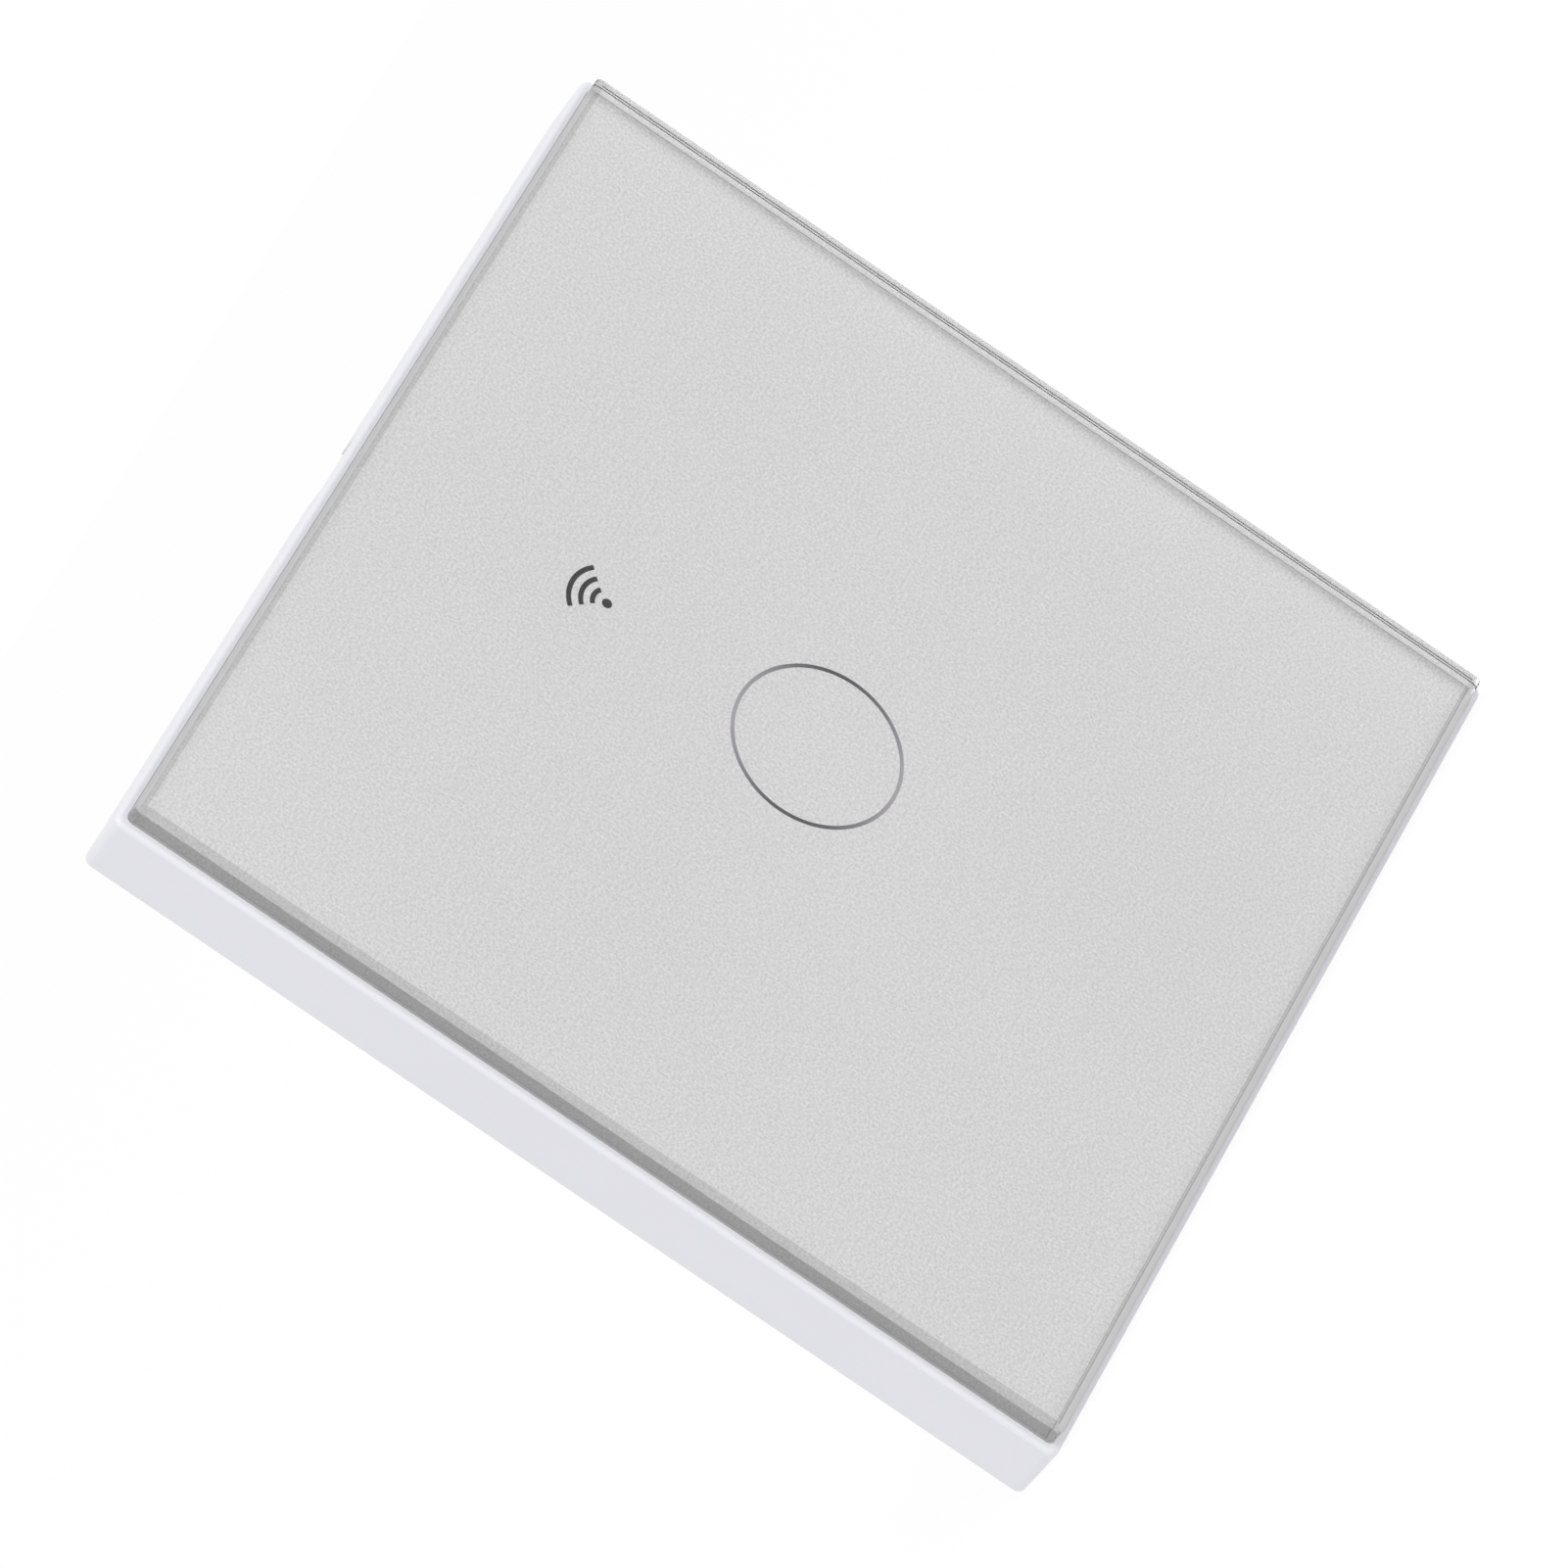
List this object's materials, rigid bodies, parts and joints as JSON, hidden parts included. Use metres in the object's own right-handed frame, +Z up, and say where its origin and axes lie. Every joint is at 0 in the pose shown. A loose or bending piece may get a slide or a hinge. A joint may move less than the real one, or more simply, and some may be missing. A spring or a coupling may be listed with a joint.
{
  "type": "touch light switch",
  "caption": "Square wall touch switch: bevelled glass panel with a silver back print on a white snap-off frame, over a rear box with relay and screw terminals.",
  "frame": {"origin": "centre of the wall plane, midway between the two wall box screws", "axes": "+X to the right as seen from the room, +Y into the wall, +Z up the wall; the glass faces -Y"},
  "size_m": [0.086, 0.0299, 0.086],
  "materials": {
    "glass": "polished, silver print on the back",
    "tape": "matt",
    "frame_plastic": "satin",
    "housing_plastic": "fine spark texture",
    "cover_plastic": "matt",
    "zinc_steel": "zinc plated",
    "board": "solder mask",
    "spring_steel": "tinned",
    "light_plastic": "milky",
    "lamp": "clear resin over a phosphor",
    "black_plastic": "matt",
    "shield_tin": "tinned",
    "chip_black": "matt",
    "chip_ceramic": "matt",
    "gold_pin": "plated",
    "relay_blue": "satin",
    "bobbin_plastic": "matt",
    "copper_wire": "enamelled",
    "soft_iron": "nickel plated",
    "contact_alloy": "bright",
    "ferrite": "matt",
    "tape_yellow": "polyester tape",
    "sleeve_black": "shrink sleeve",
    "box_yellow": "moulded",
    "fuse_glass": "glazed",
    "disc_blue": "dipped",
    "terminal_plastic": "satin",
    "cage_steel": "yellow zinc"
  },
  "bodies": {
    "base": {"rear_housing": "housing_plastic", "inner_cover": "cover_plastic", "cover_screws": "zinc_steel", "touch_board": "board", "board_screws": "zinc_steel", "touch_spring": "spring_steel", "light_ring": "light_plastic", "ring_lights": "lamp", "mark_light": "lamp", "mark_shroud": "black_plastic", "radio_shield": "shield_tin", "touch_chip": "chip_black", "small_chips": "chip_ceramic", "header_strip": "black_plastic", "header_pins": "gold_pin", "header_socket": "black_plastic", "power_board": "board", "relay_base": "black_plastic", "relay_case": "relay_blue", "relay_bobbin": "bobbin_plastic", "relay_coil": "copper_wire", "relay_core": "soft_iron", "relay_yoke": "soft_iron", "relay_contact": "contact_alloy", "transformer_coil": "tape_yellow", "transformer_core": "ferrite", "bulk_capacitor": "sleeve_black", "film_capacitor": "box_yellow", "fuse_tube": "fuse_glass", "fuse_caps": "shield_tin", "varistor": "disc_blue", "choke": "ferrite", "rectifier": "chip_black", "terminal_block": "terminal_plastic", "terminal_tabs": "contact_alloy"},
    "panel": {"glass_panel": "glass", "panel_tape": "tape", "front_frame": "frame_plastic"},
    "armature": {"relay_armature": "soft_iron", "relay_leaf": "contact_alloy"},
    "screw_1": {"terminal_screw_1": "zinc_steel"},
    "cage_1": {"clamp_cage_1": "cage_steel"},
    "screw_2": {"terminal_screw_2": "zinc_steel"},
    "cage_2": {"clamp_cage_2": "cage_steel"},
    "screw_3": {"terminal_screw_3": "zinc_steel"},
    "cage_3": {"clamp_cage_3": "cage_steel"}
  },
  "joints": [
    {"name": "panel_pull", "type": "slide", "parent": "base", "child": "panel", "axis": [0, -1, 0], "range_m": [0, 0.03]},
    {"name": "relay_pull_in", "type": "hinge", "parent": "base", "child": "armature", "pos_m": [-0.018, 0.0156, -0.0007], "axis": [0, 0, -1], "range_deg": [0, 2.6], "stiffness_Nm_per_rad": 0.004, "springref_deg": -2.86},
    {"name": "screw_1_turn", "type": "hinge", "parent": "base", "child": "screw_1", "pos_m": [-0.0078, 0.0189, -0.01945], "axis": [0, -1, 0], "range_deg": [0, 1800]},
    {"name": "cage_1_lift", "type": "slide", "parent": "base", "child": "cage_1", "axis": [0, 1, 0], "range_m": [0, 0.0025]},
    {"name": "screw_2_turn", "type": "hinge", "parent": "base", "child": "screw_2", "pos_m": [0, 0.0189, -0.01945], "axis": [0, -1, 0], "range_deg": [0, 1800]},
    {"name": "cage_2_lift", "type": "slide", "parent": "base", "child": "cage_2", "axis": [0, 1, 0], "range_m": [0, 0.0025]},
    {"name": "screw_3_turn", "type": "hinge", "parent": "base", "child": "screw_3", "pos_m": [0.0078, 0.0189, -0.01945], "axis": [0, -1, 0], "range_deg": [0, 1800]},
    {"name": "cage_3_lift", "type": "slide", "parent": "base", "child": "cage_3", "axis": [0, 1, 0], "range_m": [0, 0.0025]}
  ],
  "couplings": [
    {"joint": "screw_1_turn", "follows": "cage_1_lift", "rad_per_m": 12566},
    {"joint": "screw_2_turn", "follows": "cage_2_lift", "rad_per_m": 12566},
    {"joint": "screw_3_turn", "follows": "cage_3_lift", "rad_per_m": 12566}
  ]
}
